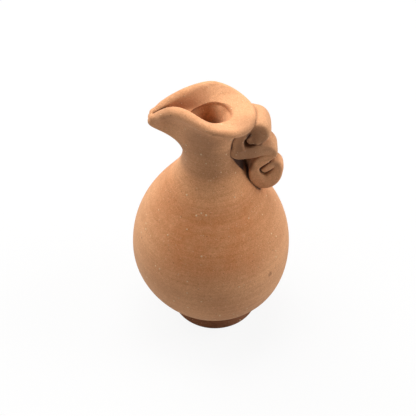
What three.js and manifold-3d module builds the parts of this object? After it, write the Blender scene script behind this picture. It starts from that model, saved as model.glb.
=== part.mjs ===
// Miniature terracotta jug: a turned belly on a low foot, a neck that opens into a pinched pouring
// mouth, and one clay strap folded into a double scroll as the handle.
// Millimetres, +Z up. The origin is under the belly's axis, on the surface that the jug stands on.
// The spout points along -X and the handle stands on the +X side.

import * as THREE from 'three';
import { mergeVertices } from 'three/addons/utils/BufferGeometryUtils.js';
import Module from 'manifold-3d';

// Belly and foot
const BELLY_RADIUS = 30.0;
const BELLY_HEIGHT = 33.6;
const BELLY_DROP = 31.4;
const SHOULDER_PULL = 26.0;
const FOOT_RADIUS = 17.1;
const FOOT_TOP_RADIUS = 16.1;
const FOOT_HEIGHT = 7.0;
const FOOT_EDGE = 0.6;
const FOOT_OFFSET = 1.6;
const FLOOR_HEIGHT = 11.0;
const WALL = 3.2;
const WALL_SLOPE = 0.4;

// Neck
const NECK_RADIUS = 10.1;
const NECK_TOP = 83.0;
const NECK_PULL = 15.0;
const NECK_JOINT = 74.0;

// Mouth: the lip's inner edge, seen from above, is a circle drawn out and pinched into a beak
const MOUTH_OFFSET = 2.3;
const MOUTH_RADIUS = 11.7;
const SPOUT_REACH = 10.5;
const REACH_POWER = 4;
const SPOUT_PINCH = 0.93;
const LIP_BACK_HEIGHT = 99.4;
const LIP_RISE = 5.3;
const LIP_DROOP = 6.0;
const DROOP_START = 0.78;
const DROOP_POWER = 2.5;
const LIP_HALF = 1.4;
const SPOUT_LIP_HALF = 1.65;
const TIP_LIP_HALF = 1.05;
const LIFT_BACK = 4;
const LIFT_SIDE = 24;
const LIFT_SPOUT = 70;
const LIFT_TIP = 78;
const FLARE_PULL_BACK = 9.0;
const FLARE_PULL_TIP = 3.5;
const LIP_PULL_BACK = 3.5;
const LIP_PULL_TIP = 8.0;

// Throat: the round hole in the dish, drawn out to a point towards the spout
const THROAT_OFFSET = 1.0;
const THROAT_RADIUS = 6.4;
const THROAT_HEIGHT = 98.7;
const THROAT_REACH = 6.0;
const THROAT_DROP = 2.0;
const THROAT_EDGE = 0.9;
const THROAT_BEVEL = 1.44;

// Stretches over which the mouth changes, on the way round from the handle (0) to the spout's tip (1)
const PINCH_SPAN = [0.5, 1];
const RISE_SPAN = [0, 0.8];
const SIDE_LIFT_SPAN = [0, 0.5];
const SPOUT_LIFT_SPAN = [0.5, 0.85];
const TIP_LIFT_SPAN = [0.95, 1];
const THICKER_LIP_SPAN = [0.7, 0.92];
const THINNER_LIP_SPAN = [0.9, 1];
const PULL_SPAN = [0.3, 1];
const THROAT_PINCH_SPAN = [0.65, 1];
const THROAT_DROP_SPAN = [0.8, 1];

// Handle strap: x, z, half thickness and half width along its fold, from the upper end to the lower
const STRAP = [
  [13.7, 92.0, 1.9, 4.9],
  [15.4, 91.8, 2.2, 5.2],
  [17.4, 92.55, 2.2, 5.4],
  [18.2, 94.4, 2.2, 5.5],
  [17.4, 96.25, 2.2, 5.5],
  [15.2, 97.0, 2.3, 5.5],
  [12.0, 96.0, 2.5, 5.6],
  [9.8, 93.9, 2.6, 5.8],
  [9.2, 91.0, 2.6, 5.8],
  [9.7, 87.7, 2.6, 5.7],
  [12.1, 86.1, 2.6, 5.4],
  [15.4, 86.1, 2.4, 5.1],
  [18.3, 86.6, 2.1, 4.8],
  [20.7, 85.2, 2.1, 4.6],
  [20.3, 82.4, 2.1, 4.4],
  [17.6, 80.2, 2.2, 4.2],
  [15.7, 77.5, 2.4, 4.1],
  [15.4, 73.9, 2.5, 4.0],
  [17.5, 70.5, 2.6, 3.9],
  [20.9, 70.5, 2.6, 3.9],
  [23.2, 73.3, 2.4, 3.8],
  [23.6, 76.5, 2.0, 3.7],
  [22.3, 78.3, 1.4, 3.6],
  [19.6, 76.9, 0.9, 3.4],
];
const STRAP_CORNER = 4.0;
const STRAP_END = 0.9;
const STRAP_END_TURN = 80;
const STRAP_END_WIDTH = 0.55;
const BEND_SQUEEZE = 0.8;
const JOINT_GAP = 0.3;

// Facets
const ROUND_STEPS = 64;
const MOUTH_STEPS = 72;
const TIP_CROWDING = 0.85;
const LOWER_STEPS = 7;
const SHOULDER_STEPS = 11;
const NECK_STEPS = 3;
const FLARE_STEPS = 9;
const LIP_STEPS = 4;
const DISH_STEPS = 3;
const EDGE_STEPS = 2;
const THROAT_STEPS = 3;
const STRAP_STEPS = 2;
const STRAP_SIDES = 18;
const STRAP_END_STEPS = 3;
const JOINT_SEARCH_STEPS = 40;
const SAME_POINT = 1e-4;

// Clay colours
const FOOT_CLAY = 0x7d4a33;
const BELLY_CLAY = 0xb67f52;
const NECK_CLAY = 0xc08a5c;
const HANDLE_CLAY = 0xac7850;
const CLAY_ROUGHNESS = 0.85;

const UP = new THREE.Vector3(0, 0, 1);

// Curves

function smooth([low, high], value) {
  return THREE.MathUtils.smoothstep(value, low, high);
}

function bezierAt(points, t) {
  return new THREE.CubicBezierCurve3(...points).getPoint(t);
}

function steps(count, from = 0, to = 1) {
  return Array.from({ length: count + 1 }, (_, i) => from + ((to - from) * i) / count);
}

// How far the belly's axis leans over to meet the foot
function lean(z) {
  return FOOT_OFFSET * (1 - smooth([FOOT_HEIGHT, BELLY_HEIGHT], z));
}

// Turned profile, as radius and height. The inset is 0 on the outside and the wall's thickness inside
function shoulderCurve(inset) {
  const slope = WALL_SLOPE * inset;
  return new THREE.CubicBezierCurve(
    new THREE.Vector2(BELLY_RADIUS - inset, BELLY_HEIGHT),
    new THREE.Vector2(BELLY_RADIUS - inset, BELLY_HEIGHT + SHOULDER_PULL - slope),
    new THREE.Vector2(NECK_RADIUS - inset, NECK_TOP - NECK_PULL - slope),
    new THREE.Vector2(NECK_RADIUS - inset, NECK_TOP),
  );
}

function shoulderJoint(inset) {
  const curve = shoulderCurve(inset);
  let low = 0;
  let high = 1;
  for (let i = 0; i < JOINT_SEARCH_STEPS; i += 1) {
    const middle = (low + high) / 2;
    if (curve.getPoint(middle).y < NECK_JOINT) low = middle;
    else high = middle;
  }
  return high;
}

function lowerBelly(inset, bottom) {
  const drop = BELLY_DROP - inset;
  const lowest = Math.asin((BELLY_HEIGHT - bottom) / drop);
  return steps(LOWER_STEPS, lowest, 0).map((angle) => new THREE.Vector2(
    (BELLY_RADIUS - inset) * Math.cos(angle),
    BELLY_HEIGHT - drop * Math.sin(angle),
  ));
}

function shoulder(inset) {
  const curve = shoulderCurve(inset);
  const points = steps(SHOULDER_STEPS, 0, shoulderJoint(inset)).map((t) => curve.getPoint(t));
  points.at(-1).y = NECK_JOINT;
  return points;
}

function neckWall(inset) {
  const curve = shoulderCurve(inset);
  const points = steps(NECK_STEPS, shoulderJoint(inset), 1).map((t) => curve.getPoint(t));
  points[0].y = NECK_JOINT;
  return points;
}

// Closed meshes

function lathe(profile) {
  const geometry = new THREE.LatheGeometry(profile, ROUND_STEPS);
  return geometry.rotateX(Math.PI / 2);
}

// Rings of points joined into a closed skin. The rings either close on themselves or end in two caps
function skin(rings, closed) {
  const sides = rings[0].length;
  const positions = rings.flat().flatMap((p) => [p.x, p.y, p.z]);
  const index = [];
  const quads = closed ? rings.length : rings.length - 1;
  for (let i = 0; i < quads; i += 1) {
    for (let j = 0; j < sides; j += 1) {
      const next = (j + 1) % sides;
      const above = ((i + 1) % rings.length) * sides;
      index.push(i * sides + j, i * sides + next, above + next);
      index.push(i * sides + j, above + next, above + j);
    }
  }
  if (!closed) {
    const last = (rings.length - 1) * sides;
    for (let j = 1; j < sides - 1; j += 1) {
      index.push(0, j + 1, j);
      index.push(last, last + j, last + j + 1);
    }
  }
  const geometry = new THREE.BufferGeometry();
  geometry.setAttribute('position', new THREE.Float32BufferAttribute(positions, 3));
  geometry.setIndex(index);
  return geometry;
}

function merged(geometry) {
  const bare = geometry.clone();
  bare.deleteAttribute('normal');
  bare.deleteAttribute('uv');
  const joined = mergeVertices(bare, SAME_POINT);
  const kept = [];
  const index = joined.index.array;
  for (let i = 0; i < index.length; i += 3) {
    const [a, b, c] = [index[i], index[i + 1], index[i + 2]];
    if (a !== b && b !== c && c !== a) kept.push(a, b, c);
  }
  joined.setIndex(kept);
  return facingOut(joined);
}

function facingOut(geometry) {
  const position = geometry.attributes.position;
  const index = geometry.index.array;
  const [a, b, c] = [new THREE.Vector3(), new THREE.Vector3(), new THREE.Vector3()];
  let volume = 0;
  for (let i = 0; i < index.length; i += 3) {
    a.fromBufferAttribute(position, index[i]);
    b.fromBufferAttribute(position, index[i + 1]);
    c.fromBufferAttribute(position, index[i + 2]);
    volume += a.dot(b.cross(c));
  }
  if (volume < 0) geometry.setIndex(Array.from(index).reverse());
  geometry.computeVertexNormals();
  return geometry;
}

// The same skin pushed out by a gap, for cutting what rests against it
function grown(geometry, gap) {
  const copy = geometry.clone();
  const { position, normal } = copy.attributes;
  for (let i = 0; i < position.count; i += 1) {
    position.setXYZ(
      i,
      position.getX(i) + normal.getX(i) * gap,
      position.getY(i) + normal.getY(i) * gap,
      position.getZ(i) + normal.getZ(i) * gap,
    );
  }
  return copy;
}

const wasm = await Module();
wasm.setup();

function solid(geometry) {
  const closed = merged(geometry);
  return new wasm.Manifold(new wasm.Mesh({
    numProp: 3,
    vertProperties: new Float32Array(closed.attributes.position.array),
    triVerts: new Uint32Array(closed.index.array),
  }));
}

function geometryOf(manifold) {
  const mesh = manifold.getMesh();
  const geometry = new THREE.BufferGeometry();
  geometry.setAttribute('position', new THREE.BufferAttribute(mesh.vertProperties, 3));
  geometry.setIndex(new THREE.BufferAttribute(mesh.triVerts, 1));
  geometry.computeVertexNormals();
  return geometry;
}

// Foot and belly

function footDisc() {
  const profile = [
    new THREE.Vector2(0, 0),
    new THREE.Vector2(FOOT_RADIUS - FOOT_EDGE, 0),
    new THREE.Vector2(FOOT_RADIUS, FOOT_EDGE),
    new THREE.Vector2(FOOT_TOP_RADIUS, FOOT_HEIGHT),
    new THREE.Vector2(0, FOOT_HEIGHT),
  ];
  return merged(lathe(profile).translate(FOOT_OFFSET, 0, 0));
}

function belly() {
  const outside = [...lowerBelly(0, FOOT_HEIGHT), ...shoulder(0).slice(1)];
  const inside = [...lowerBelly(WALL, FLOOR_HEIGHT), ...shoulder(WALL).slice(1)];
  const profile = [
    new THREE.Vector2(0, FOOT_HEIGHT),
    ...outside,
    ...inside.reverse(),
    new THREE.Vector2(0, FLOOR_HEIGHT),
  ];
  const geometry = lathe(profile);
  const position = geometry.attributes.position;
  for (let i = 0; i < position.count; i += 1) {
    position.setX(i, position.getX(i) + lean(position.getZ(i)));
  }
  return merged(geometry);
}

// Neck and mouth. An angle of 0 is at the handle and half a turn is at the spout's tip

function mouthAngles() {
  return steps(MOUTH_STEPS, 0, 2 * Math.PI)
    .slice(0, -1)
    .map((u) => u + TIP_CROWDING * Math.sin(u));
}

// 0 at the handle, 1 at the spout's tip
function forward(angle) {
  return (1 - Math.cos(angle)) / 2;
}

function lipEdge(angle) {
  const q = forward(angle);
  const pinch = 1 - SPOUT_PINCH * smooth(PINCH_SPAN, q);
  const droop = Math.max((q - DROOP_START) / (1 - DROOP_START), 0) ** DROOP_POWER;
  return new THREE.Vector3(
    MOUTH_OFFSET + MOUTH_RADIUS * Math.cos(angle) - SPOUT_REACH * q ** REACH_POWER,
    MOUTH_RADIUS * Math.sin(angle) * pinch,
    LIP_BACK_HEIGHT + LIP_RISE * smooth(RISE_SPAN, q) - LIP_DROOP * droop,
  );
}

// The lip at one angle: its inner edge, the way its wall leaves it, the wall's outer side, half its thickness
function lipAt(angle) {
  const q = forward(angle);
  const small = SAME_POINT;
  const along = lipEdge(angle + small).sub(lipEdge(angle - small));
  const plan = new THREE.Vector3(along.y, -along.x, 0).normalize();
  const side = LIFT_BACK + (LIFT_SIDE - LIFT_BACK) * smooth(SIDE_LIFT_SPAN, q);
  const spout = (LIFT_SPOUT - LIFT_SIDE) * smooth(SPOUT_LIFT_SPAN, q);
  const tip = (LIFT_TIP - LIFT_SPOUT) * smooth(TIP_LIFT_SPAN, q);
  const lift = THREE.MathUtils.degToRad(side + spout + tip);
  const thicker = (SPOUT_LIP_HALF - LIP_HALF) * smooth(THICKER_LIP_SPAN, q);
  const thinner = (SPOUT_LIP_HALF - TIP_LIP_HALF) * smooth(THINNER_LIP_SPAN, q);
  return {
    edge: lipEdge(angle),
    ahead: plan.clone().multiplyScalar(Math.cos(lift)).addScaledVector(UP, Math.sin(lift)),
    out: plan.clone().multiplyScalar(Math.sin(lift)).addScaledVector(UP, -Math.cos(lift)),
    half: LIP_HALF + thicker - thinner,
  };
}

function throatEdge(angle) {
  const q = forward(angle);
  const pinch = 1 - SPOUT_PINCH * smooth(THROAT_PINCH_SPAN, q);
  return new THREE.Vector3(
    THROAT_OFFSET + THROAT_RADIUS * Math.cos(angle) - THROAT_REACH * q ** REACH_POWER,
    THROAT_RADIUS * Math.sin(angle) * pinch,
    THROAT_HEIGHT - THROAT_DROP * smooth(THROAT_DROP_SPAN, q),
  );
}

// One section through the wall: up the outside, over the lip, across the dish and down the throat
function mouthSection(angle) {
  const q = forward(angle);
  const lip = lipAt(angle);
  const ring = ({ x, y }) => new THREE.Vector3(x * Math.cos(angle), x * Math.sin(angle), y);
  const outerWall = neckWall(0).map(ring);
  const innerWall = neckWall(WALL).map(ring).reverse();

  const middle = lip.edge.clone().addScaledVector(lip.out, lip.half);
  const lower = lip.edge.clone().addScaledVector(lip.out, 2 * lip.half);
  const nearTip = smooth(PULL_SPAN, q);
  const flarePull = THREE.MathUtils.lerp(FLARE_PULL_BACK, FLARE_PULL_TIP, nearTip);
  const lipPull = THREE.MathUtils.lerp(LIP_PULL_BACK, LIP_PULL_TIP, nearTip);
  const neckTop = outerWall.at(-1);
  const flare = [
    neckTop,
    neckTop.clone().addScaledVector(UP, flarePull),
    lower.clone().addScaledVector(lip.ahead, -lipPull),
    lower,
  ];

  const corner = throatEdge(angle);
  const towardLip = lip.edge.clone().sub(corner).normalize();
  const dishStart = corner.clone().addScaledVector(towardLip, THROAT_EDGE);
  const throatStart = corner.clone().addScaledVector(UP, -THROAT_BEVEL);
  const bend = new THREE.QuadraticBezierCurve3(dishStart, corner, throatStart);

  return [
    ...outerWall,
    ...steps(FLARE_STEPS).slice(1).map((t) => bezierAt(flare, t)),
    ...steps(LIP_STEPS, 0, Math.PI).slice(1, -1).map((turn) => middle.clone()
      .addScaledVector(lip.out, lip.half * Math.cos(turn))
      .addScaledVector(lip.ahead, lip.half * Math.sin(turn))),
    ...steps(DISH_STEPS).map((t) => lip.edge.clone().lerp(dishStart, t)),
    ...steps(EDGE_STEPS).slice(1).map((t) => bend.getPoint(t)),
    ...steps(THROAT_STEPS).slice(1, -1).map((t) => throatStart.clone().lerp(innerWall[0], t)),
    ...innerWall,
  ];
}

function neckAndSpout() {
  const sections = mouthAngles().map(mouthSection);
  return merged(skin(sections, true));
}

// Handle

function strapStations() {
  const smoothCurve = (points) => new THREE.CatmullRomCurve3(points, false, 'catmullrom', 0.5);
  const route = smoothCurve(STRAP.map(([x, z]) => new THREE.Vector3(x, 0, z)));
  const sizes = smoothCurve(STRAP.map(([, , thickness, width]) => new THREE.Vector3(thickness, width, 0)));
  const count = STRAP_STEPS * (STRAP.length - 1);
  return steps(count).map((t) => {
    const tangent = route.getTangent(t);
    const size = sizes.getPoint(t);
    const bend = signedBend(route, t, 1 / count);
    return {
      centre: route.getPoint(t),
      tangent,
      normal: new THREE.Vector3(-tangent.z, 0, tangent.x),
      leftHalf: Math.min(size.x, bend > 0 ? BEND_SQUEEZE / bend : Infinity),
      rightHalf: Math.min(size.x, bend < 0 ? -BEND_SQUEEZE / bend : Infinity),
      halfThickness: size.x,
      halfWidth: size.y,
    };
  });
}

// One over the radius of the route's bend near t, positive where it turns to the left
function signedBend(route, t, span) {
  const before = Math.max(t - span / 2, 0);
  const after = Math.min(t + span / 2, 1);
  const first = route.getTangent(before);
  const second = route.getTangent(after);
  const length = route.getPoint(before).distanceTo(route.getPoint(after));
  return (first.x * second.z - first.z * second.x) / length;
}

// A rounded flat section across the strap, thinner on the inside of a tight bend
function strapRing({ centre, normal, leftHalf, rightHalf, halfWidth }, shrink = 1) {
  const rounded = (v) => Math.sign(v) * Math.abs(v) ** (2 / STRAP_CORNER);
  return steps(STRAP_SIDES, 0, 2 * Math.PI).slice(0, -1).map((turn) => {
    const across = halfWidth * rounded(Math.cos(turn)) * THREE.MathUtils.lerp(STRAP_END_WIDTH, 1, shrink);
    const half = Math.sin(turn) > 0 ? leftHalf : rightHalf;
    const thick = half * rounded(Math.sin(turn)) * shrink;
    return centre.clone().addScaledVector(normal, thick).add(new THREE.Vector3(0, across, 0));
  });
}

function strapEnd(station, direction) {
  return steps(STRAP_END_STEPS, 0, STRAP_END_TURN).slice(1).map((degrees) => {
    const turn = THREE.MathUtils.degToRad(degrees);
    const ahead = direction * STRAP_END * station.halfThickness * Math.sin(turn);
    const centre = station.centre.clone().addScaledVector(station.tangent, ahead);
    return strapRing({ ...station, centre }, Math.cos(turn));
  });
}

// The turned outside of the belly and neck, grown by the joint's gap, with its hollow and throat filled
function turnedBlank() {
  const outside = [...lowerBelly(0, FOOT_HEIGHT), ...shoulder(0).slice(1), ...neckWall(0).slice(1)];
  const coreRadius = NECK_RADIUS - WALL / 2;
  const profile = [
    new THREE.Vector2(0, FOOT_HEIGHT),
    ...outside.map(({ x, y }) => new THREE.Vector2(x + JOINT_GAP, y + JOINT_GAP)),
    new THREE.Vector2(coreRadius, NECK_TOP + JOINT_GAP),
    new THREE.Vector2(coreRadius, THROAT_HEIGHT),
    new THREE.Vector2(0, THROAT_HEIGHT),
  ];
  return lathe(profile);
}

function handleStrap(mouth) {
  const stations = strapStations();
  const rings = [
    ...strapEnd(stations[0], -1).reverse(),
    ...stations.map((station) => strapRing(station)),
    ...strapEnd(stations.at(-1), 1),
  ];
  const cut = solid(skin(rings, false))
    .subtract(solid(turnedBlank()))
    .subtract(solid(grown(mouth, JOINT_GAP)));
  return geometryOf(cut);
}

// Materials and assembly

function clay(colour) {
  return new THREE.MeshStandardMaterial({ color: colour, roughness: CLAY_ROUGHNESS, metalness: 0 });
}

function piece(name, geometry, material) {
  const mesh = new THREE.Mesh(geometry, material);
  mesh.name = name;
  return mesh;
}

const mouthGeometry = neckAndSpout();
const jug = new THREE.Group();
jug.add(
  piece('foot_disc', footDisc(), clay(FOOT_CLAY)),
  piece('belly', belly(), clay(BELLY_CLAY)),
  piece('neck_and_spout', mouthGeometry, clay(NECK_CLAY)),
  piece('scroll_handle', handleStrap(mouthGeometry), clay(HANDLE_CLAY)),
);

export default jug;
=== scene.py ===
"""Looks of the miniature terracotta jug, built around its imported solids.

Shapes are worked out in millimetres in the part's frame: +Z up, the spout along -X, the handle at +X.
"""

import math

import bpy
import numpy as np
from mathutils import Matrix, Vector


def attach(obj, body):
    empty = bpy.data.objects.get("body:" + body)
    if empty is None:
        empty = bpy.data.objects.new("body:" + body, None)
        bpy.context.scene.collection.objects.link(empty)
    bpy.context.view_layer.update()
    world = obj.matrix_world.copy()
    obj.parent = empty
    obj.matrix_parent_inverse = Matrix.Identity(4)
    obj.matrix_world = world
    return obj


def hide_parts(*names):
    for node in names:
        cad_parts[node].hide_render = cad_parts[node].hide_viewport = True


MM = 0.001
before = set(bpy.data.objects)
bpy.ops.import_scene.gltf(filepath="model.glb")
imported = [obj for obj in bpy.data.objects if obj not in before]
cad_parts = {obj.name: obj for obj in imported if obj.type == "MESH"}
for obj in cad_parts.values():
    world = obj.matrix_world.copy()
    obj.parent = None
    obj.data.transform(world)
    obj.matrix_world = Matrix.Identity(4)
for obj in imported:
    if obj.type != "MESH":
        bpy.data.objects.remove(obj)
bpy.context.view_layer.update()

# Belly and foot. A pull is how far a curve's arm reaches
BELLY_RADIUS = 30.0
BELLY_HEIGHT = 33.6
BELLY_DROP = 31.4
SHOULDER_PULL = 26.0
FOOT_RADIUS = 17.1
FOOT_TOP_RADIUS = 16.1
FOOT_HEIGHT = 7.0
FOOT_ROUND = 0.8
FOOT_OFFSET = 1.6
FLOOR_HEIGHT = 11.0
WALL = 3.2
WALL_SLOPE = 0.4

# Neck
NECK_RADIUS = 10.1
NECK_TOP = 83.0
NECK_PULL = 15.0
NECK_JOINT = 74.0

# Mouth: the lip's inner edge, seen from above, is a circle drawn out and pinched into a beak. The lifts say
# how steeply the wall meets the lip, in degrees
MOUTH_OFFSET = 2.6
MOUTH_RADIUS = 11.0
SPOUT_REACH = 11.2
REACH_POWER = 4
SPOUT_PINCH = 0.945
LIP_BACK_HEIGHT = 99.9
LIP_RISE = 4.5
LIP_DROOP = 5.3
DROOP_START = 0.725
DROOP_POWER = 3.25
LIP_HALF = 1.6
SPOUT_LIP_HALF = 2.1
TIP_LIP_HALF = 1.45
LIFT_BACK = 4.0
LIFT_SIDE = 23.5
LIFT_SPOUT = 60.5
LIFT_TIP = 72.5
FLARE_PULL_BACK = 9.0
FLARE_PULL_TIP = 8.9
LIP_PULL_BACK = 3.5
LIP_PULL_TIP = 5.1
NOSE_BULGE = 4.85
TIP_NOTCH = 0.5
NOTCH_POWER = 2

# Throat: the round hole in the dish, drawn out towards the spout. Its wall drops by a short step, which is
# undercut on the spout's side, and then runs in as a funnel, which is widest on the handle's side
THROAT_OFFSET = 0.8
THROAT_RADIUS = 6.0
THROAT_ROUND = 0.89
THROAT_WAIST = 1.7
THROAT_HEIGHT = 99.9
THROAT_REACH = 1.6
THROAT_PINCH = 0.3
THROAT_EDGE_BACK = 1.5
THROAT_EDGE = 0.3
THROAT_STEP = 1.0
STEP_EASE = 0.65
UNDERCUT = 1.5
FUNNEL_IN = 4.6
FUNNEL_DEPTH = 3.0
FUNNEL_SHIFT = 2.0
BORE_PULL = 8.0

# Stretches over which the mouth changes, on the way round from the handle (0) to the spout's tip (1)
PINCH_SPAN = (0.51, 1.0)
RISE_SPAN = (0.0, 0.77)
SIDE_LIFT_SPAN = (0.0, 0.5)
SPOUT_LIFT_SPAN = (0.45, 0.82)
TIP_LIFT_SPAN = (0.95, 1.0)
THICKER_LIP_SPAN = (0.5, 0.8)
THINNER_LIP_SPAN = (0.95, 1.0)
PULL_SPAN = (0.3, 1.0)
NOSE_SPAN = (0.93, 1.0)
NOTCH_SPAN = (0.9, 0.95)
THROAT_PINCH_SPAN = (0.45, 1.0)
THROAT_EDGE_SPAN = (0.05, 0.3)
FUNNEL_SPAN = (0.0, 0.8)
UNDERCUT_SPAN = (0.5, 0.85)

# Handle strap: x, z, half thickness, half width and squareness along its fold, from the upper end down
STRAP = np.array([
    (13.6, 92.8, 1.9, 6.8, 7.0),
    (14.9, 93.3, 2.9, 6.8, 7.0),
    (16.5, 93.6, 3.2, 6.3, 6.0),
    (17.9, 94.3, 2.7, 6.0, 3.2),
    (17.7, 95.6, 2.5, 5.7, 3.0),
    (16.6, 96.7, 2.5, 5.6, 3.0),
    (14.9, 96.9, 2.3, 5.7, 3.2),
    (12.8, 97.0, 2.5, 6.2, 4.0),
    (10.7, 95.6, 2.5, 6.8, 5.0),
    (9.0, 93.0, 2.3, 7.6, 6.0),
    (9.0, 90.3, 2.4, 7.8, 7.0),
    (9.3, 88.0, 3.5, 7.8, 7.0),
    (11.4, 87.2, 3.1, 7.2, 8.0),
    (14.8, 87.0, 3.1, 6.3, 8.0),
    (17.7, 86.6, 2.9, 5.3, 7.0),
    (20.3, 85.2, 2.5, 4.5, 5.0),
    (20.9, 83.7, 2.3, 4.1, 5.0),
    (19.8, 82.3, 2.3, 3.9, 5.0),
    (18.2, 80.9, 2.3, 4.0, 6.0),
    (16.6, 79.2, 2.1, 4.1, 6.0),
    (15.4, 76.8, 1.7, 4.1, 6.0),
    (15.5, 74.0, 2.3, 4.1, 6.0),
    (16.7, 71.1, 3.1, 4.0, 6.0),
    (19.0, 69.6, 3.4, 3.9, 6.0),
    (21.7, 71.2, 3.1, 3.7, 6.0),
    (23.2, 74.2, 2.5, 3.3, 4.0),
    (23.4, 76.6, 2.1, 3.0, 3.5),
    (22.2, 78.0, 1.7, 3.1, 4.0),
    (20.5, 77.3, 1.5, 3.7, 6.0),
    (18.7, 75.6, 1.3, 3.7, 6.0),
])
STRAP_END = 0.9
STRAP_END_WIDTHS = (0.9, 0.55)
STRAP_END_TURNS = (20, 40, 60, 75, 85)
BEND_SQUEEZE = 1.9
BURIED_RADIUS = 8.0

# Upper fold of the strap, which gets narrower towards the rim and is pushed a little towards +Y
FOLD_HEIGHTS = (91.0, 97.0)
FOLD_WIDTHS = (6.8, 5.7)
FOLD_RELEASE = 5.0
FOLD_SHIFT = 1.0
FOLD_RANGE = (11.0, 13.5)
FOLD_END = (14.5, 20.5)

# Crease where the strap meets the rim
CREASE_PLACE = 0.1
CREASE_HALF = 0.45
CREASE_DEPTH = 0.45
CREASE_HEIGHTS = (96.5, 98.0)

# Web of clay that joins the strap's leg to the neck
WEB_PLACE = 3.5
WEB_HALF = (0.8, 2.4)
WEB_RANGE = (12.0, 16.5)
WEB_BOTTOM = (69.0, 72.0)
WEB_TOP = (83.0, 84.5)
WEB_BURIED = 9.0

# Mesh fineness
ROUND_STEPS = 256
FOOT_UNDER_STEPS = 11
FOOT_EDGE_STEPS = 8
FOOT_SIDE_STEPS = 15
FOOT_TOP_STEPS = 5
LOWER_STEPS = 70
SHOULDER_STEPS = 120
JOINT_STEPS = 2000
NECK_STEPS = 24
FLARE_STEPS = 48
LIP_STEPS = 16
DISH_STEPS = 24
EDGE_STEPS = 12
THROAT_STEPS = 28
STRAP_STATIONS = 320
STRAP_SIDES = 72
STRAP_VOXEL = 0.15
SOFTEN_ROUNDS = 9
SOFTEN_FACTOR = 0.5
TIP_CROWDING = 0.85
POLE_RADIUS = 0.5
SHARP_ANGLE = math.radians(50)

# Directions, and steps too small to see
UP = np.array((0.0, 0.0, 1.0))
TO_HANDLE = np.array((1.0, 0.0, 0.0))
TINY_TURN = 1e-4
TINY_BEND = 1e-6

# Colours of the clay, its grit and smudges, and of painted shade
LIGHT_CLAY = (0.64, 0.31, 0.143, 1.0)
DEEP_CLAY = (0.56, 0.255, 0.112, 1.0)
# Deeper, warmer clay, laid in a band that is partly painted shade on the front of the belly
WARM_SHADE_CLAY = (0.55, 0.212, 0.077, 1.0)
PALE_CLAY = (0.66, 0.328, 0.16, 1.0)
PALE_DEEP_CLAY = (0.59, 0.278, 0.131, 1.0)
# The foot's clay is darker and redder, and darker still as painted shade under the belly's overhang
FOOT_LIGHT = (0.36, 0.138, 0.056, 1.0)
FOOT_DEEP = (0.265, 0.096, 0.038, 1.0)
PALE_GRIT = (0.8, 0.6, 0.36, 1.0)
DARK_GRIT = (0.2, 0.075, 0.03, 1.0)
# Painted shade for the spout's channel and elsewhere, and painted shadow for creases and the hollow
CHANNEL_SHADE_CLAY = (0.3, 0.1, 0.035, 1.0)
SHADE_CLAY = (0.26, 0.115, 0.052, 1.0)
SHADOW_CLAY = (0.05, 0.015, 0.008, 1.0)
WHITE = (1.0, 1.0, 1.0, 1.0)

# Light, deep and warmer clay of each kind of piece. The warmer clay and the foot's darker clay are partly
# painted shade
FOOT_TINT_AND_SHADE = (FOOT_LIGHT, FOOT_DEEP, FOOT_DEEP)
BODY_TINT = (LIGHT_CLAY, DEEP_CLAY, WARM_SHADE_CLAY)
HANDLE_TINT = (PALE_CLAY, PALE_DEEP_CLAY, WARM_SHADE_CLAY)

# Patterns in the clay: the scale and the detail of each noise
CLOUD_NOISE = (45.0, 3.0)
BLOTCH_NOISE = (230.0, 4.0)
FLECK_NOISE = (900.0, 3.0)
GRAIN_NOISE = (2400.0, 2.0)
LINE_NOISE = (1.0, 4.0)
LINE_STRETCH = (24.0, 24.0, 1300.0)
NOISE_ROUGHNESS = 0.55
CLOUD_RANGE = (0.35, 0.7)
TONE_RANGE = (0.3, 0.7)

# How far each pattern changes the tone, and how far it stands out, in metres
FLECK_TONE = 0.045
GRAIN_TONE = 0.1
LINE_TONE = 0.045
TONE_SATURATION = 0.25
BLOTCH_BUMP = 0.0001
FLECK_BUMP = 0.00005
GRAIN_BUMP = 0.0001
LINE_BUMP = 0.00005
GRIT_BUMP = 0.00015

# Clay that is paler at the top of the jug, and deeper and warmer in blotches in a band on the front and the
# back of its shoulder. The band is partly painted shade, which darkens the front
PALE_HEIGHTS = (80.0, 96.0)
WARM_SHADE_BAND = (51.0, 64.0)
WARM_SHADE_FADE = 12.0
WARM_SHADE_SIDE = (10.0, 25.0)
WARM_SHADE_SIDE_SHARE = 0.1
WARM_SHADE_BLOTCH_RANGE = (0.3, 0.65)
WARM_SHADE_BLOTCH_SHARES = (0.6, 1.0)

# Grit: the size of a cell, the share of the cells that hold a grain, and a grain's radius
PALE_SPECKS = (1.7, 0.13, 0.42)
FINE_SPECKS = (0.9, 0.14, 0.22)
DARK_SPECKS = (1.5, 0.08, 0.32)
PALE_SHARE = 0.8
FINE_SHARE = 0.45
DARK_SHARE = 0.55
FULL_GRAINS = 0.9
GRAIN_CORE = 0.5

# Bands of painted light and shade: two heights, the fade outside them and the tone
# Painted shade on the neck below the flare, painted light on the shoulder and painted shade on the lower
# belly
BODY_SHADE_BANDS = (
    ((80.5, 88.0), 4.0, 0.83),
    ((71.0, 75.0), 4.0, 1.1),
    ((0.0, 34.0), 8.0, 0.9),
)
# Painted light on the scroll, and painted shade on the strap's middle and its upper fold
HANDLE_SHADE_BANDS = (
    ((70.0, 79.0), 3.0, 1.08),
    ((85.0, 91.0), 3.0, 0.82),
    ((94.0, 102.0), 2.0, 0.91),
)
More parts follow.
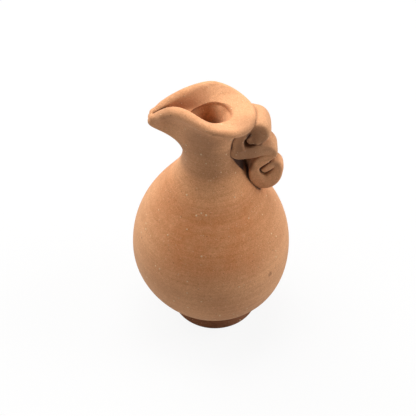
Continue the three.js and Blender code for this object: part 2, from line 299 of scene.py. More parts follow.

# Spots of painted shade: the place, the radius, the share and the colour. Those of the handle are the same
# on both sides. Smudges are real dark marks on the clay and lie over the grit
# Painted shade in the spout's channel, on the rim and the lip, and on the neck below the lip
BODY_SHADE_SPOTS = (
    ((-9.0, 2.6, 100.3), 7.5, 0.72, CHANNEL_SHADE_CLAY),
    ((-4.0, 5.5, 102.0), 6.0, 0.45, CHANNEL_SHADE_CLAY),
    ((13.2, -7.2, 99.0), 8.0, 0.45, SHADE_CLAY),
    ((-4.0, -9.5, 94.0), 8.5, 0.5, SHADE_CLAY),
    ((-15.3, -2.7, 102.0), 5.0, 0.3, SHADE_CLAY),
)
# Painted shade on the handle's near faces, and painted shadow in its creases
HANDLE_SIDE_SHADE_SPOTS = (
    ((13.0, 7.5, 87.2), 7.5, 0.6, SHADE_CLAY),
    ((12.6, 6.5, 92.6), 6.0, 0.7, SHADE_CLAY),
    ((16.5, 5.5, 94.5), 4.5, 0.5, SHADE_CLAY),
    ((18.2, 5.0, 91.2), 2.6, 0.7, SHADE_CLAY),
    ((13.2, 4.1, 78.0), 3.0, 0.7, SHADE_CLAY),
    ((22.4, 2.0, 79.0), 3.5, 0.5, SHADE_CLAY),
    ((19.5, 3.5, 88.5), 3.5, 0.4, SHADE_CLAY),
    ((17.2, 5.5, 90.3), 1.4, 0.75, SHADOW_CLAY),
    ((12.6, 5.8, 94.6), 1.6, 0.8, SHADOW_CLAY),
)
HANDLE_SHADE_SPOTS = tuple(
    ((x, side * y, z), radius, share, shade_or_stain)
    for (x, y, z), radius, share, shade_or_stain in HANDLE_SIDE_SHADE_SPOTS
    for side in (-1, 1)
)
SMUDGES = (((21.8, -20.3, 38.5), 1.5, 0.5, DARK_GRIT),)
SPOT_CORE = 0.3

# Painted shadow on the neck in the hollow behind the strap. Its half width is the height times the slope,
# up to the limit, less the cut
RECESS_SLOPE = 0.4
RECESS_LIMIT = 34.65
RECESS_CUT = 27.0
RECESS_SOFT = 0.3
RECESS_FRONT = (4.0, 6.0)
RECESS_HEIGHTS = (76.5, 94.5)
RECESS_FADE = 3.0

# Painted shade in narrow gaps, from ambient occlusion
CREVICE_SHADE_REACH = 1.4
CREVICE_SHADE_SAMPLES = 8
CREVICE_SHADE_RANGE = (0.4, 0.9)
CREVICE_SHADE_TONE = 0.35

# Surface of the clay
ROUGHNESS = (0.78, 0.92)
SPECULAR = 0.3
SHEEN = 0.15
SHEEN_ROUGHNESS = 0.5
SHEEN_TINT = (1.0, 0.8, 0.62, 1.0)

# Places of the colour sockets on a mix node, where other kinds of socket have the same names
MIX_COLOUR_A = 6
MIX_COLOUR_B = 7
MIX_COLOUR = 2

# Ends of a ramp that falls
FALLING = (1.0, 0.0)

# Camera, fitted to the photo's frame: its width and the focal length are in pixels
IMAGE_SIZE = 416
CAMERA_FOCAL = 1020
CAMERA_ELEVATION = math.radians(47)
CAMERA_DISTANCE = 380
CAMERA_AIM = Vector((-1.13, 0.0, 52.5))
CAMERA_CLIP = 0.01
SENSOR = 36

# Lamps: the name, the azimuth and elevation in degrees, and the power. Their places are in metres
LAMPS = (
    ("right", 96, 36, 4.25),
    ("back", 180, 72, 4.4),
    ("back_left", 225, 42, 2.7),
    ("left", 270, 58, 2.65),
)
LAMP_AIM = Vector((0, 0, 0.05))
LAMP_DISTANCE = 0.8
LAMP_SIZE = 0.5
WORLD_LIGHT = 0.1

# Floor, in metres
FLOOR_REACH = 3.0
FLOOR_COLOUR = (0.62, 0.61, 0.6, 1.0)
FLOOR_ROUGHNESS = 0.9
FLOOR_WHITE = 0.9


# Curves

def smooth(span, value):
    """A soft step from 0 to 1 while the value crosses the span."""
    t = np.clip((value - span[0]) / (span[1] - span[0]), 0, 1)
    return t * t * (3 - 2 * t)


def bezier(a, b, c, d, t):
    u = 1 - t
    return u**3 * a + 3 * u * u * t * b + 3 * u * t * t * c + t**3 * d


def arc_bend(a, corner, b, t):
    """A bend that leaves a and reaches b along the lines to the corner."""
    return (1 - t) ** 2 * a + 2 * t * (1 - t) * corner + t * t * b


def spline(points, count):
    """A smooth curve through the points: each column is a natural cubic over the distance run."""
    gaps = np.linalg.norm(np.diff(points[:, :2], axis=0), axis=1)
    knots = np.concatenate([[0], np.cumsum(gaps)])
    n = len(points)
    matrix = np.eye(n)
    right = np.zeros_like(points)
    slopes = np.diff(points, axis=0) / gaps[:, None]
    for i in range(1, n - 1):
        matrix[i, i - 1:i + 2] = gaps[i - 1], 2 * (gaps[i - 1] + gaps[i]), gaps[i]
        right[i] = 6 * (slopes[i] - slopes[i - 1])
    second = np.linalg.solve(matrix, right)
    at = np.linspace(0, knots[-1], count)
    i = np.clip(np.searchsorted(knots, at, side="right") - 1, 0, n - 2)
    h = gaps[i][:, None]
    a = (knots[i + 1] - at)[:, None] / h
    b = 1 - a
    bow = ((a**3 - a) * second[i] + (b**3 - b) * second[i + 1]) * h * h / 6
    return a * points[i] + b * points[i + 1] + bow


# Meshes

def grid_faces(rows, columns, loop_rows):
    faces = []
    for i in range(rows if loop_rows else rows - 1):
        above = (i + 1) % rows
        for j in range(columns):
            k = (j + 1) % columns
            faces.append((i * columns + j, i * columns + k, above * columns + k, above * columns + j))
    return faces


def grid_piece(name, grid, loop_rows=False, caps=False):
    """A closed mesh from rows of points in millimetres. Each row is a ring."""
    rows, columns, _ = grid.shape
    faces = grid_faces(rows, columns, loop_rows)
    if caps:
        faces.append(tuple(reversed(range(columns))))
        faces.append(tuple((rows - 1) * columns + j for j in range(columns)))
    mesh = bpy.data.meshes.new(name)
    mesh.from_pydata((grid.reshape(-1, 3) * MM).tolist(), [], faces)
    mesh.update()
    mesh.polygons.foreach_set("use_smooth", np.ones(len(mesh.polygons), bool))
    mesh.set_sharp_from_angle(angle=SHARP_ANGLE)
    piece = bpy.data.objects.new(name, mesh)
    bpy.context.scene.collection.objects.link(piece)
    return piece


def fused(piece, voxel):
    """The piece as one clean skin, with the parts that press into each other joined."""
    remesh = piece.modifiers.new("fuse", "REMESH")
    remesh.mode = "VOXEL"
    remesh.voxel_size = voxel * MM
    remesh.use_smooth_shade = True
    softened = piece.modifiers.new("soften", "SMOOTH")
    softened.factor = SOFTEN_FACTOR
    softened.iterations = SOFTEN_ROUNDS
    whole = piece.evaluated_get(bpy.context.evaluated_depsgraph_get())
    mesh = bpy.data.meshes.new_from_object(whole)
    mesh.name = piece.name
    piece.modifiers.clear()
    piece.data = mesh
    return piece


def turned(profile, offset):
    """Rings of points around the axis from (radius, height) pairs and the axis' offset at each."""
    angles = np.linspace(0, 2 * np.pi, ROUND_STEPS, endpoint=False)
    radius, height = profile[:, :1], profile[:, 1:]
    x = offset[:, None] + radius * np.cos(angles)
    y = radius * np.sin(angles)
    return np.stack([x, y, np.broadcast_to(height, x.shape)], -1)


# Turned profile, as radius and height. The inset is 0 on the outside and the wall's thickness inside

def lean(z):
    """How far the axis is off to the handle's side, which is most at the foot."""
    return FOOT_OFFSET * (1 - smooth((FOOT_HEIGHT, BELLY_HEIGHT), z))


def shoulder_curve(inset, t):
    slope = WALL_SLOPE * inset
    wide, narrow = BELLY_RADIUS - inset, NECK_RADIUS - inset
    radius = bezier(wide, wide, narrow, narrow, t)
    height = bezier(
        BELLY_HEIGHT, BELLY_HEIGHT + SHOULDER_PULL - slope, NECK_TOP - NECK_PULL - slope, NECK_TOP, t
    )
    return np.stack([radius, height], -1)


def joint_place(inset):
    """How far along the shoulder's curve the neck is joined."""
    t = np.linspace(0, 1, JOINT_STEPS + 1)
    return np.interp(NECK_JOINT, shoulder_curve(inset, t)[:, 1], t)


def lower_belly(inset, bottom):
    drop = BELLY_DROP - inset
    angle = np.linspace(np.arcsin((BELLY_HEIGHT - bottom) / drop), 0, LOWER_STEPS + 1)
    return np.stack([(BELLY_RADIUS - inset) * np.cos(angle), BELLY_HEIGHT - drop * np.sin(angle)], -1)


def shoulder(inset):
    return shoulder_curve(inset, np.linspace(0, joint_place(inset), SHOULDER_STEPS + 1))


def neck_wall(inset):
    return shoulder_curve(inset, np.linspace(joint_place(inset), 1, NECK_STEPS + 1))


# Foot and belly

def make_foot():
    turn = np.linspace(-np.pi / 2, 0, FOOT_EDGE_STEPS + 1)
    edge = np.stack([
        FOOT_RADIUS - FOOT_ROUND + FOOT_ROUND * np.cos(turn),
        FOOT_ROUND + FOOT_ROUND * np.sin(turn),
    ], -1)
    top_edge = (FOOT_TOP_RADIUS, FOOT_HEIGHT)
    under = np.linspace((POLE_RADIUS, 0.0), edge[0], FOOT_UNDER_STEPS + 1)[:-1]
    side = np.linspace(edge[-1], top_edge, FOOT_SIDE_STEPS + 1)[1:]
    top = np.linspace(top_edge, (POLE_RADIUS, FOOT_HEIGHT), FOOT_TOP_STEPS + 1)[1:]
    profile = np.concatenate([under, edge, side, top])
    return grid_piece("foot", turned(profile, np.full(len(profile), FOOT_OFFSET)), caps=True)


def make_belly():
    outside = np.concatenate([lower_belly(0, FOOT_HEIGHT), shoulder(0)[1:]])
    inside = np.concatenate([lower_belly(WALL, FLOOR_HEIGHT), shoulder(WALL)[1:]])
    under, floor = (POLE_RADIUS, FOOT_HEIGHT), (POLE_RADIUS, FLOOR_HEIGHT)
    profile = np.concatenate([[under], outside, inside[::-1], [floor]])
    return grid_piece("belly_shell", turned(profile, lean(profile[:, 1])), caps=True)


# Neck and mouth. An angle of 0 is at the handle and half a turn is at the spout's tip

def forward(angle):
    """0 at the handle, rising to 1 at the spout's tip."""
    return (1 - np.cos(angle)) / 2


def lip_edge(angle):
    q = forward(angle)
    pinch = 1 - SPOUT_PINCH * smooth(PINCH_SPAN, q)
    droop = np.clip((q - DROOP_START) / (1 - DROOP_START), 0, 1) ** DROOP_POWER
    x = MOUTH_OFFSET + MOUTH_RADIUS * np.cos(angle) - SPOUT_REACH * q**REACH_POWER
    y = MOUTH_RADIUS * np.sin(angle) * pinch
    z = LIP_BACK_HEIGHT + LIP_RISE * smooth(RISE_SPAN, q) - LIP_DROOP * droop
    return np.stack([x, y, z], -1)


def lip_frame(angle):
    """The lip's inner edge, the way its wall leaves it, the wall's outer side and half its thickness."""
    q = forward(angle)
    along = lip_edge(angle + TINY_TURN) - lip_edge(angle - TINY_TURN)
    plan = np.stack([along[:, 1], -along[:, 0], np.zeros_like(q)], -1)
    plan /= np.linalg.norm(plan, axis=1, keepdims=True)
    side = LIFT_BACK + (LIFT_SIDE - LIFT_BACK) * smooth(SIDE_LIFT_SPAN, q)
    spout = (LIFT_SPOUT - LIFT_SIDE) * smooth(SPOUT_LIFT_SPAN, q)
    tip = (LIFT_TIP - LIFT_SPOUT) * smooth(TIP_LIFT_SPAN, q)
    lift = np.radians(side + spout + tip)[:, None]
    thicker = (SPOUT_LIP_HALF - LIP_HALF) * smooth(THICKER_LIP_SPAN, q)
    thinner = (SPOUT_LIP_HALF - TIP_LIP_HALF) * smooth(THINNER_LIP_SPAN, q)
    notch = 1 - TIP_NOTCH * np.clip(-plan[:, 0], 0, 1) ** NOTCH_POWER * smooth(NOTCH_SPAN, q)
    half = ((LIP_HALF + thicker - thinner) * notch)[:, None]
    ahead = plan * np.cos(lift) + UP * np.sin(lift)
    out = plan * np.sin(lift) - UP * np.cos(lift)
    return lip_edge(angle), ahead, out, half


def throat_edge(angle):
    q = forward(angle)
    pinch = 1 - THROAT_PINCH * smooth(THROAT_PINCH_SPAN, q)
    x = THROAT_OFFSET + THROAT_RADIUS * np.cos(angle) - THROAT_REACH * q**REACH_POWER
    y = THROAT_ROUND * THROAT_RADIUS * np.sin(angle) * pinch
    return np.stack([x, y, np.full_like(x, THROAT_HEIGHT)], -1)


def around(profile, angle):
    """Rings at the mouth's own angles from (radius, height) pairs."""
    across, aside = np.cos(angle), np.sin(angle)
    return [
        np.stack([radius * across, radius * aside, np.full_like(angle, height)], -1)
        for radius, height in profile
    ]


def flare_and_lip(angle, neck_top, frame):
    """Rings from the top of the neck up the flared wall and over the rounded lip."""
    q = forward(angle)[:, None]
    edge, ahead, out, half = frame
    middle = edge + out * half
    lower = middle + out * half
    near_tip = smooth(PULL_SPAN, q)
    flare_pull = FLARE_PULL_BACK + (FLARE_PULL_TIP - FLARE_PULL_BACK) * near_tip
    lip_pull = LIP_PULL_BACK + (LIP_PULL_TIP - LIP_PULL_BACK) * near_tip
    nose = TO_HANDLE * NOSE_BULGE * smooth(NOSE_SPAN, q)
    lip_aim = lower - ahead * lip_pull - nose
    flare = [
        bezier(neck_top, neck_top + UP * flare_pull, lip_aim, lower, t)
        for t in np.linspace(0, 1, FLARE_STEPS + 1)[1:]
    ]
    lip = [
        middle + half * (np.cos(b) * out + np.sin(b) * ahead)
        for b in np.linspace(0, np.pi, LIP_STEPS + 1)[1:-1]
    ]
    return flare + lip


def dish_and_throat(angle, edge, bore_top):
    """Rings from the lip's inner edge down the dish, over the throat's soft edge and into the bore."""
    q = forward(angle)[:, None]
    corner = throat_edge(angle)
    soft = THROAT_EDGE_BACK + (THROAT_EDGE - THROAT_EDGE_BACK) * smooth(THROAT_EDGE_SPAN, q)
    toward = edge - corner
    toward /= np.linalg.norm(toward, axis=1, keepdims=True)
    dish_end = corner + toward * soft
    inward = np.stack([-np.cos(angle), -np.sin(angle), np.zeros_like(angle)], -1)
    wide = 1 - smooth(FUNNEL_SPAN, q)
    step = THROAT_STEP * (1 - STEP_EASE * wide) + soft
    step_end = corner - UP * step - inward * UNDERCUT * smooth(UNDERCUT_SPAN, q)
    funnel_aim = step_end + inward * FUNNEL_IN * wide - UP * FUNNEL_DEPTH
    bore_aim = bore_top + inward * (THROAT_WAIST + FUNNEL_SHIFT * wide) + UP * BORE_PULL
    dish = [edge + (dish_end - edge) * t for t in np.linspace(0, 1, DISH_STEPS + 1)]
    bend = [arc_bend(dish_end, corner, step_end, t) for t in np.linspace(0, 1, EDGE_STEPS + 1)[1:]]
    tube = [
        bezier(step_end, funnel_aim, bore_aim, bore_top, t)
        for t in np.linspace(0, 1, THROAT_STEPS + 1)[1:-1]
    ]
    return dish + bend + tube


def make_mouth():
    turn = np.linspace(0, 2 * np.pi, ROUND_STEPS, endpoint=False)
    angle = turn + TIP_CROWDING * np.sin(turn)
    frame = lip_frame(angle)
    outer_wall = around(neck_wall(0), angle)
    inner_wall = around(neck_wall(WALL), angle)[::-1]
    outside = flare_and_lip(angle, outer_wall[-1], frame)
    inside = dish_and_throat(angle, frame[0], inner_wall[0])
    grid = np.array(outer_wall + outside + inside + inner_wall)
    return grid_piece("neck_and_mouth", grid, loop_rows=True)


# Handle. The pressing functions change the grid's points in place

def squeezed(half, tangent, step):
    """The strap's half thickness on its left and its right, which is less on the inside of a tight bend."""
    turn = np.gradient(tangent, axis=0) / step
    bend = tangent[:, 0] * turn[:, 1] - tangent[:, 1] * turn[:, 0]
    room = BEND_SQUEEZE / np.maximum(np.abs(bend), TINY_BEND)
    left = np.where(bend > 0, np.minimum(half, room), half)
    right = np.where(bend < 0, np.minimum(half, room), half)
    return left, right


def strap_grid():
    """Rings along the folded strap, with rounded ends."""
    x, z, half, width, squareness = spline(STRAP, STRAP_STATIONS).T
    tangent = np.gradient(np.stack([x, z], -1), axis=0)
    step = np.linalg.norm(tangent, axis=1, keepdims=True)
    tangent /= step
    left, right = squeezed(half, tangent, step)
    turn = np.linspace(0, 2 * np.pi, STRAP_SIDES, endpoint=False)

    def ring(i, ahead=0.0, shrink=1.0, end_width=1.0):
        along_x, along_z = tangent[i]
        power = 2 / squareness[i]
        across = np.sign(np.cos(turn)) * np.abs(np.cos(turn)) ** power
        thick = np.sign(np.sin(turn)) * np.abs(np.sin(turn)) ** power
        out = np.where(thick > 0, left[i], right[i]) * thick * shrink
        aside = width[i] * across * (end_width + (1 - end_width) * shrink)
        ring_x = x[i] + along_x * ahead - along_z * out
        ring_z = z[i] + along_z * ahead + along_x * out
        return np.stack([ring_x, aside, ring_z], -1)

    last = STRAP_STATIONS - 1
    turns = np.radians(STRAP_END_TURNS)
    upper, lower = STRAP_END_WIDTHS
    start = [ring(0, -STRAP_END * half[0] * np.sin(b), np.cos(b), upper) for b in turns[::-1]]
    end = [ring(last, STRAP_END * half[last] * np.sin(b), np.cos(b), lower) for b in turns]
    return np.array(start + [ring(i) for i in range(STRAP_STATIONS)] + end)


def press_to_neck(grid):
    """Keeps the strap out of the bore: what would reach further in stops inside the neck's wall."""
    x, y, _ = np.moveaxis(grid, -1, 0)
    buried = np.sqrt(np.maximum(BURIED_RADIUS**2 - y**2, 0))
    x[:] = np.maximum(x, buried)


def press_fold(grid):
    """Makes the upper fold narrower and pushes it aside."""
    x, y, z = np.moveaxis(grid, -1, 0)
    high = smooth(FOLD_HEIGHTS, z)
    outside = smooth(FOLD_RANGE, x)
    reach = np.interp(high, (0, 1), FOLD_WIDTHS) + FOLD_RELEASE * (1 - outside)
    shift = FOLD_SHIFT * high * outside * (1 - smooth(FOLD_END, x))
    y[:] = np.clip(y, -reach, reach) + shift


def press_crease(grid):
    """Sinks a thin line into the strap along the rim."""
    x, y, z = np.moveaxis(grid, -1, 0)
    rim = np.hypot(x - MOUTH_OFFSET, y) - MOUTH_RADIUS - LIP_HALF
    crease = np.exp(-(((rim - CREASE_PLACE) / CREASE_HALF) ** 2)) * smooth(CREASE_HEIGHTS, z)
    z -= CREASE_DEPTH * crease


def draw_web(grid):
    """Draws a thin strip of the leg's inner side in to the neck."""
    x, y, z = np.moveaxis(grid, -1, 0)
    web = (1 - smooth(WEB_HALF, np.abs(y - WEB_PLACE))) * (1 - smooth(WEB_RANGE, x))
    web *= smooth(WEB_BOTTOM, z) * (1 - smooth(WEB_TOP, z))
    x -= web * np.maximum(x - WEB_BURIED, 0)


def make_handle():
    grid = strap_grid()
    for press in (press_to_neck, press_fold, press_crease, draw_web):
        press(grid)
    return fused(grid_piece("folded_strap", grid, caps=True), STRAP_VOXEL)


# Shader nodes

def metres(values):
    return [value * MM for value in values]


def feed(tree, socket, value):
    """Another node's socket is linked to this one, and a plain value is written."""
    if isinstance(value, bpy.types.NodeSocket):
        tree.links.new(value, socket)
    else:
        socket.default_value = value


def add(tree, kind, **inputs):
    """A node with its inputs fed by name."""
    made = tree.nodes.new(kind)
    for name, value in inputs.items():
        feed(tree, made.inputs[name.replace("_", " ")], value)
    return made


def noise(tree, place, scale, detail):
    made = add(tree, "ShaderNodeTexNoise", Vector=place, Scale=scale, Detail=detail)
    made.inputs["Roughness"].default_value = NOISE_ROUGHNESS
    return made.outputs["Fac"]


def ramp(tree, value, span, ends=(0.0, 1.0)):
    """A smooth step from one end to the other while the value crosses the span."""
    made = add(
        tree, "ShaderNodeMapRange", Value=value,
        From_Min=span[0], From_Max=span[1], To_Min=ends[0], To_Max=ends[1],
    )
    made.interpolation_type = "SMOOTHSTEP"
    return made.outputs["Result"]


def maths(tree, operation, *values):
    made = tree.nodes.new("ShaderNodeMath")
    made.operation = operation
    for socket, value in zip(made.inputs, values):
        feed(tree, socket, value)
    return made.outputs["Value"]


def mixed(tree, share, colour_a, colour_b):
    made = tree.nodes.new("ShaderNodeMix")
    made.data_type = "RGBA"
    feed(tree, made.inputs["Factor"], share)
    feed(tree, made.inputs[MIX_COLOUR_A], colour_a)
    feed(tree, made.inputs[MIX_COLOUR_B], colour_b)
    return made.outputs[MIX_COLOUR]


def toned(tree, colour, tone, strength=1.0):
    """The colour made lighter or darker by a factor, and stronger or weaker by another."""
    made = add(tree, "ShaderNodeHueSaturation", Color=colour, Value=tone, Saturation=strength)
    return made.outputs["Color"]


def specks(tree, place, cell, share, grain):
    """Small round grains: one in each of a share of the cells."""
    size, radius = metres((cell, grain))
    cells = add(tree, "ShaderNodeTexVoronoi", Vector=place, Scale=1 / size).outputs
    draw = add(tree, "ShaderNodeSeparateColor", Color=cells["Color"]).outputs["Red"]
    chosen = ramp(tree, draw, (1 - share, 1 - FULL_GRAINS * share))
    inside = ramp(tree, cells["Distance"], (GRAIN_CORE * radius / size, radius / size), FALLING)
    return maths(tree, "MULTIPLY", chosen, inside)


def height_band(tree, height, band, fade):
    """1 between two heights, fading to 0 outside them."""
    low, high = metres(band)
    soft = fade * MM
    up = ramp(tree, height, (low - soft, low))
    down = ramp(tree, height, (high, high + soft), FALLING)
    return maths(tree, "MULTIPLY", up, down)


def near_point(tree, place, point, radius):
    """1 around a point, fading to 0 at the radius."""
    made = tree.nodes.new("ShaderNodeVectorMath")
    made.operation = "DISTANCE"
    feed(tree, made.inputs[0], place)
    feed(tree, made.inputs[1], metres(point))
    return ramp(tree, made.outputs["Value"], metres((SPOT_CORE * radius, radius)), FALLING)


def bumped(tree, layers):
    """Bump nodes in a row, from (height, distance in metres) pairs."""
    normal = None
    for height, distance in layers:
        made = add(tree, "ShaderNodeBump", Height=height, Distance=distance)
        if normal is not None:
            tree.links.new(normal, made.inputs["Normal"])
        normal = made.outputs["Normal"]
    return normal


# Clay

def clouded(tree, place, axes, blotch, tint):
    """Cloudy clay, paler at the top, with a blotchy band of deeper, warmer clay that paints shade on the
    front.
    """
    light, deep, warm = tint
    clouds = ramp(tree, noise(tree, place, *CLOUD_NOISE), CLOUD_RANGE)
    upper = mixed(tree, clouds, PALE_CLAY, PALE_DEEP_CLAY)
    colour = mixed(tree, clouds, light, deep)
    colour = mixed(tree, ramp(tree, axes["Z"], metres(PALE_HEIGHTS)), colour, upper)
    band = height_band(tree, axes["Z"], WARM_SHADE_BAND, WARM_SHADE_FADE)
    warm_shade_amount = maths(tree, "MULTIPLY", band, ramp(tree, blotch, WARM_SHADE_BLOTCH_RANGE, WARM_SHADE_BLOTCH_SHARES))
    aside = maths(tree, "ABSOLUTE", axes["X"])
    middle = ramp(tree, aside, metres(WARM_SHADE_SIDE), (1.0, WARM_SHADE_SIDE_SHARE))
    return mixed(tree, maths(tree, "MULTIPLY", warm_shade_amount, middle), colour, warm)


def patterned(tree, colour, tones):
    """The colour with (pattern, amount) pairs laid on: where it is lighter it is also weaker."""
    for pattern, amount in tones:
        strength = amount * TONE_SATURATION
        tone = ramp(tree, pattern, TONE_RANGE, (1 - amount, 1 + amount))
        colour = toned(tree, colour, tone, ramp(tree, pattern, TONE_RANGE, (1 + strength, 1 - strength)))
    return colour


# Bands of painted light and shade, each making the colour lighter or darker
def shade_banded(tree, height, colour, bands):
    for span, fade, tone in bands:
        shade = height_band(tree, height, span, fade)
        colour = toned(tree, colour, ramp(tree, shade, (0.0, 1.0), (1.0, tone)))
    return colour


def crevice_shaded(tree, colour):
    """Painted shade: the colour made darker in narrow gaps."""
    occlusion = add(tree, "ShaderNodeAmbientOcclusion", Distance=CREVICE_SHADE_REACH * MM)
    occlusion.samples = CREVICE_SHADE_SAMPLES
    return toned(tree, colour, ramp(tree, occlusion.outputs["AO"], CREVICE_SHADE_RANGE, (CREVICE_SHADE_TONE, 1.0)))


# Spots of painted shade, and real smudges
def shaded_or_stained(tree, place, colour, spots):
    for spot, radius, share, shade_or_stain in spots:
        amount = maths(tree, "MULTIPLY", near_point(tree, place, spot, radius), share)
        colour = mixed(tree, amount, colour, shade_or_stain)
    return colour


def recess_shadow(tree, axes):
    """1 in the hollow behind the strap, where its shadow is painted, and which gets narrower downwards."""
    aside = maths(tree, "ABSOLUTE", axes["Y"])
    rise = maths(tree, "MULTIPLY", axes["Z"], RECESS_SLOPE)
    width = maths(tree, "MINIMUM", rise, RECESS_LIMIT * MM)
    past = maths(tree, "SUBTRACT", aside, width)
    edge = metres((-RECESS_CUT - RECESS_SOFT, -RECESS_CUT + RECESS_SOFT))
    inside = ramp(tree, past, edge, FALLING)
    front = ramp(tree, axes["X"], metres(RECESS_FRONT))
    band = height_band(tree, axes["Z"], RECESS_HEIGHTS, RECESS_FADE)
    return maths(tree, "MULTIPLY", maths(tree, "MULTIPLY", inside, front), band)


def clay(name, tint, bands, spots, thrown):
    """Unglazed clay: cloudy colour, fine grain and pale grit, and more on the pieces thrown on a wheel.

    Those have throwing lines, dark grit and the painted shadow in the hollow behind the strap as well.
    """
    material = bpy.data.materials.new(name)
    material.use_nodes = True
    tree = material.node_tree
    place = tree.nodes.new("ShaderNodeTexCoord").outputs["Object"]
    axes = add(tree, "ShaderNodeSeparateXYZ", Vector=place).outputs

    blotch = noise(tree, place, *BLOTCH_NOISE)
    fleck = noise(tree, place, *FLECK_NOISE)
    grain = noise(tree, place, *GRAIN_NOISE)
    pale = specks(tree, place, *PALE_SPECKS)
    fine = specks(tree, place, *FINE_SPECKS)
    tones = [(fleck, FLECK_TONE), (grain, GRAIN_TONE)]
    layers = [(blotch, BLOTCH_BUMP), (fleck, FLECK_BUMP), (grain, GRAIN_BUMP)]
    grit = [(fine, FINE_SHARE, PALE_GRIT), (pale, PALE_SHARE, PALE_GRIT)]
    if thrown:
        stretched = add(tree, "ShaderNodeMapping", Vector=place, Scale=LINE_STRETCH).outputs["Vector"]
        lines = noise(tree, stretched, *LINE_NOISE)
        tones.append((lines, LINE_TONE))
        layers.append((lines, LINE_BUMP))
        grit.append((specks(tree, place, *DARK_SPECKS), DARK_SHARE, DARK_GRIT))
    layers += [(pale, GRIT_BUMP), (fine, GRIT_BUMP)]

    # Clay colour, with the band of deeper, warmer clay that is partly painted shade
    colour = clouded(tree, place, axes, blotch, tint)
    colour = patterned(tree, colour, tones)
    # Bands of painted light and shade
    colour = shade_banded(tree, axes["Z"], colour, bands)
    # Painted shade in narrow gaps
    colour = crevice_shaded(tree, colour)
    # Spots of painted shade
    colour = shaded_or_stained(tree, place, colour, spots)
    if thrown:
        # Painted shadow in the hollow behind the strap
        colour = mixed(tree, recess_shadow(tree, axes), colour, SHADOW_CLAY)
    for grains, share, grit_colour in grit:
        colour = mixed(tree, maths(tree, "MULTIPLY", grains, share), colour, grit_colour)
    colour = shaded_or_stained(tree, place, colour, SMUDGES)

    inputs = tree.nodes["Principled BSDF"].inputs
    feed(tree, inputs["Base Color"], colour)
    feed(tree, inputs["Roughness"], ramp(tree, grain, TONE_RANGE, ROUGHNESS))
    feed(tree, inputs["Normal"], bumped(tree, layers))
    feed(tree, inputs["Specular IOR Level"], SPECULAR)
    feed(tree, inputs["Sheen Weight"], SHEEN)
    feed(tree, inputs["Sheen Roughness"], SHEEN_ROUGHNESS)
    feed(tree, inputs["Sheen Tint"], SHEEN_TINT)
    return material


def thrown_clay(name, tint):
    return clay(name, tint, BODY_SHADE_BANDS, BODY_SHADE_SPOTS, thrown=True)


def strap_clay(name, tint):
    return clay(name, tint, HANDLE_SHADE_BANDS, HANDLE_SHADE_SPOTS, thrown=False)


# Stage

def floor_material():
    """Pale and diffuse for the light on the object, and nearly white to the camera, with its shadow."""
    material = bpy.data.materials.new("floor_surface")
    material.use_nodes = True
    tree = material.node_tree
    shader = tree.nodes["Principled BSDF"]
    feed(tree, shader.inputs["Base Color"], FLOOR_COLOUR)
    feed(tree, shader.inputs["Roughness"], FLOOR_ROUGHNESS)
    feed(tree, shader.inputs["Specular IOR Level"], 0.0)
    white = add(tree, "ShaderNodeEmission", Color=WHITE, Strength=1.0)
    ray = tree.nodes.new("ShaderNodeLightPath").outputs
    seen = maths(tree, "MAXIMUM", ray["Is Camera Ray"], ray["Is Glossy Ray"])
    seen = maths(tree, "MAXIMUM", seen, ray["Is Transmission Ray"])
    both = tree.nodes.new("ShaderNodeMixShader")
    tree.links.new(maths(tree, "MULTIPLY", seen, FLOOR_WHITE), both.inputs["Fac"])
    tree.links.new(shader.outputs["BSDF"], both.inputs[1])
    tree.links.new(white.outputs["Emission"], both.inputs[2])
    tree.links.new(both.outputs["Shader"], tree.nodes["Material Output"].inputs["Surface"])
    return material


def make_floor():
    mesh = bpy.data.meshes.new("floor")
    corners = [(x * FLOOR_REACH, y * FLOOR_REACH, 0) for x, y in ((-1, -1), (1, -1), (1, 1), (-1, 1))]
    mesh.from_pydata(corners, [], [(0, 1, 2, 3)])
    mesh.materials.append(floor_material())
    floor = bpy.data.objects.new("floor", mesh)
    bpy.context.scene.collection.objects.link(floor)


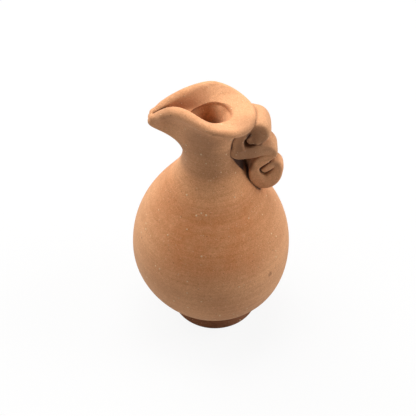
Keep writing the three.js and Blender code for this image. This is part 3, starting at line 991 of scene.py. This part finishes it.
def make_lamp(name, azimuth, elevation, power):
    """A round lamp aimed at the jug: azimuth 0 is the camera's side, 90 the right, 180 behind."""
    turn, rise = math.radians(azimuth), math.radians(elevation)
    flat = LAMP_DISTANCE * math.cos(rise)
    light = bpy.data.lights.new(name, "AREA")
    light.shape = "DISK"
    light.size = LAMP_SIZE
    light.energy = power
    lamp = bpy.data.objects.new(name, light)
    place = Vector((flat * math.sin(turn), -flat * math.cos(turn), LAMP_DISTANCE * math.sin(rise)))
    lamp.location = place
    lamp.rotation_euler = (LAMP_AIM - place).to_track_quat("-Z", "Y").to_euler()
    bpy.context.scene.collection.objects.link(lamp)


def make_camera():
    data = bpy.data.cameras.new("camera")
    data.sensor_width = SENSOR
    data.lens = CAMERA_FOCAL * SENSOR / IMAGE_SIZE
    data.clip_start = CAMERA_CLIP
    camera = bpy.data.objects.new("camera", data)
    back = Vector((0, -math.cos(CAMERA_ELEVATION), math.sin(CAMERA_ELEVATION)))
    camera.location = (CAMERA_AIM + back * CAMERA_DISTANCE) * MM
    camera.rotation_euler = (-back).to_track_quat("-Z", "Y").to_euler()
    bpy.context.scene.collection.objects.link(camera)
    bpy.context.scene.camera = camera


def make_world():
    world = bpy.data.worlds.new("studio")
    bpy.context.scene.world = world
    world.use_nodes = True
    background = world.node_tree.nodes["Background"]
    background.inputs["Color"].default_value = WHITE
    background.inputs["Strength"].default_value = WORLD_LIGHT


# Each piece, with the solid that it replaces, its slot and its material
PIECES = (
    (make_foot, "foot_disc", "foot_clay", thrown_clay("foot_surface", FOOT_TINT_AND_SHADE)),
    (make_belly, "belly", "body_clay", thrown_clay("belly_surface", BODY_TINT)),
    (make_mouth, "neck_and_spout", "neck_clay", thrown_clay("neck_surface", BODY_TINT)),
    (make_handle, "scroll_handle", "handle_clay", strap_clay("handle_surface", HANDLE_TINT)),
)
for make, node, slot, material in PIECES:
    piece = make()
    piece.data.materials.append(material)
    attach(piece, "root")
    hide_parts(node)

make_floor()
make_camera()
make_world()
for lamp in LAMPS:
    make_lamp(*lamp)
bpy.context.scene.view_settings.view_transform = "Standard"
